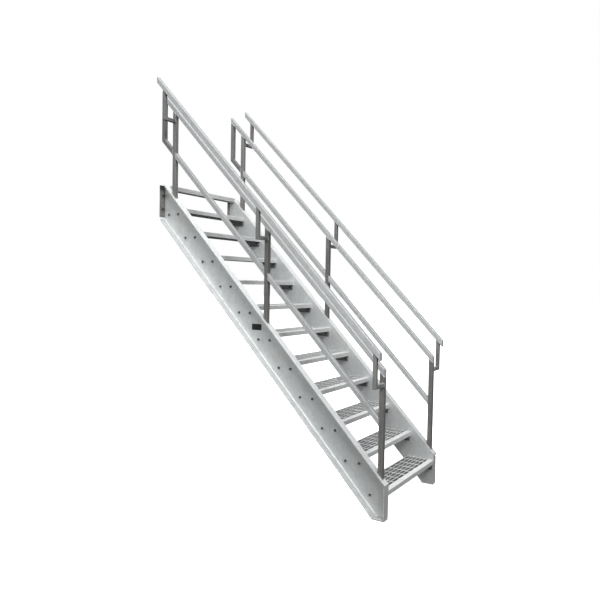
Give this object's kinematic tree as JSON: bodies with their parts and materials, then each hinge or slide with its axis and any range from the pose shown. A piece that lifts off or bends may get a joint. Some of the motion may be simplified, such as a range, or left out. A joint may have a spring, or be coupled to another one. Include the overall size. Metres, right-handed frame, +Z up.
{
  "type": "industrial steel stair",
  "caption": "Straight galvanised steel stair with channel stringers, open bar-grating treads, two-rail square-tube guards and outboard handrails.",
  "frame": {"origin": "middle of the landing nosing's back face, which bears on the landing's edge 28 mm below the landing's walking surface", "axes": "+X to the right of a person climbing, +Y towards the landing, +Z up; the flight runs down towards -Y"},
  "size_m": [1.288, 2.31, 3.5197],
  "materials": {
    "galvanised_section": "hot-dip galvanised, dull satin with faint spangle",
    "galvanised_tube": "hot-dip galvanised, dull satin",
    "galvanised_tread": "hot-dip galvanised grating, dull satin",
    "black_plate": "satin, blank"
  },
  "bodies": {
    "root": {"left_stringer": "galvanised_section", "left_top_plate": "galvanised_section", "left_foot_plate": "galvanised_section", "left_front_plate": "galvanised_section", "left_post_top": "galvanised_tube", "left_post_middle": "galvanised_tube", "left_post_bottom": "galvanised_tube", "left_guard_rail": "galvanised_tube", "left_midrail_upper": "galvanised_tube", "left_midrail_lower": "galvanised_tube", "left_end_loop": "galvanised_tube", "left_handrail": "galvanised_tube", "left_bracket_top": "galvanised_tube", "left_bracket_middle": "galvanised_tube", "left_bracket_bottom": "galvanised_tube", "right_stringer": "galvanised_section", "right_top_plate": "galvanised_section", "right_foot_plate": "galvanised_section", "right_front_plate": "galvanised_section", "right_post_top": "galvanised_tube", "right_post_middle": "galvanised_tube", "right_post_bottom": "galvanised_tube", "right_guard_rail": "galvanised_tube", "right_midrail_upper": "galvanised_tube", "right_midrail_lower": "galvanised_tube", "right_end_loop": "galvanised_tube", "right_handrail": "galvanised_tube", "right_bracket_top": "galvanised_tube", "right_bracket_middle": "galvanised_tube", "right_bracket_bottom": "galvanised_tube", "landing_nosing": "galvanised_tread", "tread_01": "galvanised_tread", "tread_02": "galvanised_tread", "tread_03": "galvanised_tread", "tread_04": "galvanised_tread", "tread_05": "galvanised_tread", "tread_06": "galvanised_tread", "tread_07": "galvanised_tread", "tread_08": "galvanised_tread", "tread_09": "galvanised_tread", "tread_10": "galvanised_tread", "tread_11": "galvanised_tread", "nameplate": "black_plate"}
  },
  "joints": []
}
